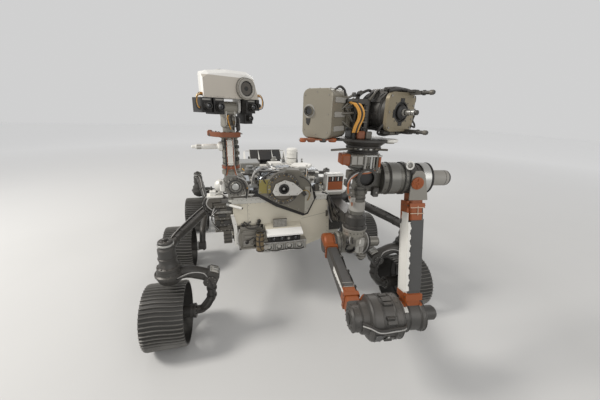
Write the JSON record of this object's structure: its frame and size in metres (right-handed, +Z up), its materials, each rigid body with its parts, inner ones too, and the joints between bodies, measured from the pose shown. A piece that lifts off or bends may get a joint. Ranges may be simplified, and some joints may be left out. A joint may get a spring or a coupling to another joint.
{
  "type": "six-wheeled planetary rover",
  "caption": "Six-wheeled planetary rover with rocker-bogie legs, steered corner wheels, a camera mast, a steerable antenna and a jointed instrument arm.",
  "frame": {"origin": "middle of the plan of the whole rover, at the floor the wheels stand on", "axes": "+X port side, -Y front, +Z up"},
  "size_m": [2.71, 3.659, 2.176],
  "materials": {
    "wheel_alloy": "brushed, dusty",
    "dark_fitting": "satin",
    "graphite_tube": "matt",
    "white_paint": "matt",
    "grey_paint": "matt",
    "bare_alloy": "satin",
    "black_paint": "matt"
  },
  "bodies": {
    "chassis": {"chassis": "white_paint", "front_panel": "white_paint", "belly_pan": "grey_paint", "top_deck": "white_paint", "hazard_camera_bar": "white_paint", "bit_carousel": "bare_alloy", "deck_boxes": "white_paint", "lifting_lugs": "bare_alloy", "arm_mount": "dark_fitting", "power_source": "black_paint", "power_source_frame": "dark_fitting", "heat_exchangers": "white_paint", "radio_antenna": "white_paint", "antenna_base": "white_paint", "differential": "graphite_tube", "rocker_left": "graphite_tube", "rocker_right": "graphite_tube", "bogie_left": "graphite_tube", "bogie_right": "graphite_tube", "mast_base": "white_paint", "mast_tube": "grey_paint", "wind_sensors": "white_paint"},
    "steering_front_left": {"steering_neck_front_left": "dark_fitting"},
    "wheel_front_left": {"wheel_front_left": "wheel_alloy"},
    "steering_front_right": {"steering_neck_front_right": "dark_fitting"},
    "wheel_front_right": {"wheel_front_right": "wheel_alloy"},
    "steering_rear_left": {"steering_neck_rear_left": "dark_fitting"},
    "wheel_rear_left": {"wheel_rear_left": "wheel_alloy"},
    "steering_rear_right": {"steering_neck_rear_right": "dark_fitting"},
    "wheel_rear_right": {"wheel_rear_right": "wheel_alloy"},
    "wheel_middle_left": {"wheel_middle_left": "wheel_alloy"},
    "wheel_middle_right": {"wheel_middle_right": "wheel_alloy"},
    "head_neck": {"mast_neck": "grey_paint"},
    "head": {"camera_head": "white_paint", "head_cameras": "dark_fitting"},
    "antenna_turn": {"antenna_fork": "dark_fitting"},
    "antenna_dish": {"antenna_panel": "white_paint"},
    "arm_shoulder": {"arm_shoulder": "dark_fitting"},
    "arm_upper": {"upper_arm": "graphite_tube"},
    "arm_fore": {"forearm": "graphite_tube"},
    "arm_wrist": {"wrist": "dark_fitting"},
    "arm_turret": {"turret_core": "dark_fitting", "turret_sensor_box": "grey_paint", "turret_drill": "dark_fitting"}
  },
  "joints": [
    {"name": "steer_front_left", "type": "hinge", "parent": "chassis", "child": "steering_front_left", "pos_m": [1.062, -0.903, 0.66], "axis": [0, 0, -1], "range_deg": [-95, 95]},
    {"name": "roll_front_left", "type": "hinge", "parent": "steering_front_left", "child": "wheel_front_left", "pos_m": [1.12, -0.903, 0.2625], "axis": [1, 0, 0], "continuous": true},
    {"name": "steer_front_right", "type": "hinge", "parent": "chassis", "child": "steering_front_right", "pos_m": [-1.062, -0.903, 0.66], "axis": [0, 0, -1], "range_deg": [-95, 95]},
    {"name": "roll_front_right", "type": "hinge", "parent": "steering_front_right", "child": "wheel_front_right", "pos_m": [-1.12, -0.903, 0.2625], "axis": [1, 0, 0], "continuous": true},
    {"name": "steer_rear_left", "type": "hinge", "parent": "chassis", "child": "steering_rear_left", "pos_m": [1.062, 1.382, 0.66], "axis": [0, 0, -1], "range_deg": [-95, 95]},
    {"name": "roll_rear_left", "type": "hinge", "parent": "steering_rear_left", "child": "wheel_rear_left", "pos_m": [1.12, 1.382, 0.2625], "axis": [1, 0, 0], "continuous": true},
    {"name": "steer_rear_right", "type": "hinge", "parent": "chassis", "child": "steering_rear_right", "pos_m": [-1.062, 1.382, 0.66], "axis": [0, 0, -1], "range_deg": [-95, 95]},
    {"name": "roll_rear_right", "type": "hinge", "parent": "steering_rear_right", "child": "wheel_rear_right", "pos_m": [-1.12, 1.382, 0.2625], "axis": [1, 0, 0], "continuous": true},
    {"name": "roll_middle_left", "type": "hinge", "parent": "chassis", "child": "wheel_middle_left", "pos_m": [1.2, 0.262, 0.2625], "axis": [1, 0, 0], "continuous": true},
    {"name": "roll_middle_right", "type": "hinge", "parent": "chassis", "child": "wheel_middle_right", "pos_m": [-1.2, 0.262, 0.2625], "axis": [1, 0, 0], "continuous": true},
    {"name": "head_pan", "type": "hinge", "parent": "chassis", "child": "head_neck", "pos_m": [-0.545, -0.538, 1.698], "axis": [0, 0, 1], "range_deg": [-211, 151]},
    {"name": "head_tilt", "type": "hinge", "parent": "head_neck", "child": "head", "pos_m": [-0.545, -0.538, 1.906], "axis": [0.866, 0.5, 0], "range_deg": [-91, 87]},
    {"name": "antenna_azimuth", "type": "hinge", "parent": "chassis", "child": "antenna_turn", "pos_m": [0.212, -0.088, 1.186], "axis": [0, 0, 1], "range_deg": [-175, 175]},
    {"name": "antenna_elevation", "type": "hinge", "parent": "antenna_turn", "child": "antenna_dish", "pos_m": [0.212, -0.088, 1.262], "axis": [1, 0, 0], "range_deg": [-90, 90]},
    {"name": "arm_azimuth", "type": "hinge", "parent": "chassis", "child": "arm_shoulder", "pos_m": [0.49624, -0.91487, 0.935], "axis": [0, 0, 1], "range_deg": [-61, 75]},
    {"name": "arm_elevation", "type": "hinge", "parent": "arm_shoulder", "child": "arm_upper", "pos_m": [0.444, -0.848, 0.742], "axis": [-0.9925, 0.1219, 0], "range_deg": [-24.1, 45.9]},
    {"name": "arm_elbow", "type": "hinge", "parent": "arm_upper", "child": "arm_fore", "pos_m": [0.3412, -1.68522, 0.65483], "axis": [-0.9925, 0.1219, 0], "range_deg": [-245.1, 34.9]},
    {"name": "arm_wrist_pitch", "type": "hinge", "parent": "arm_fore", "child": "arm_wrist", "pos_m": [0.36603, -1.48305, 1.52326], "axis": [0.9925, -0.1219, 0], "range_deg": [-153.2, 146.8]},
    {"name": "arm_turret_turn", "type": "hinge", "parent": "arm_wrist", "child": "arm_turret", "pos_m": [0.21119, -1.46404, 1.68126], "axis": [0, 0, -1], "range_deg": [-175, 175]}
  ]
}
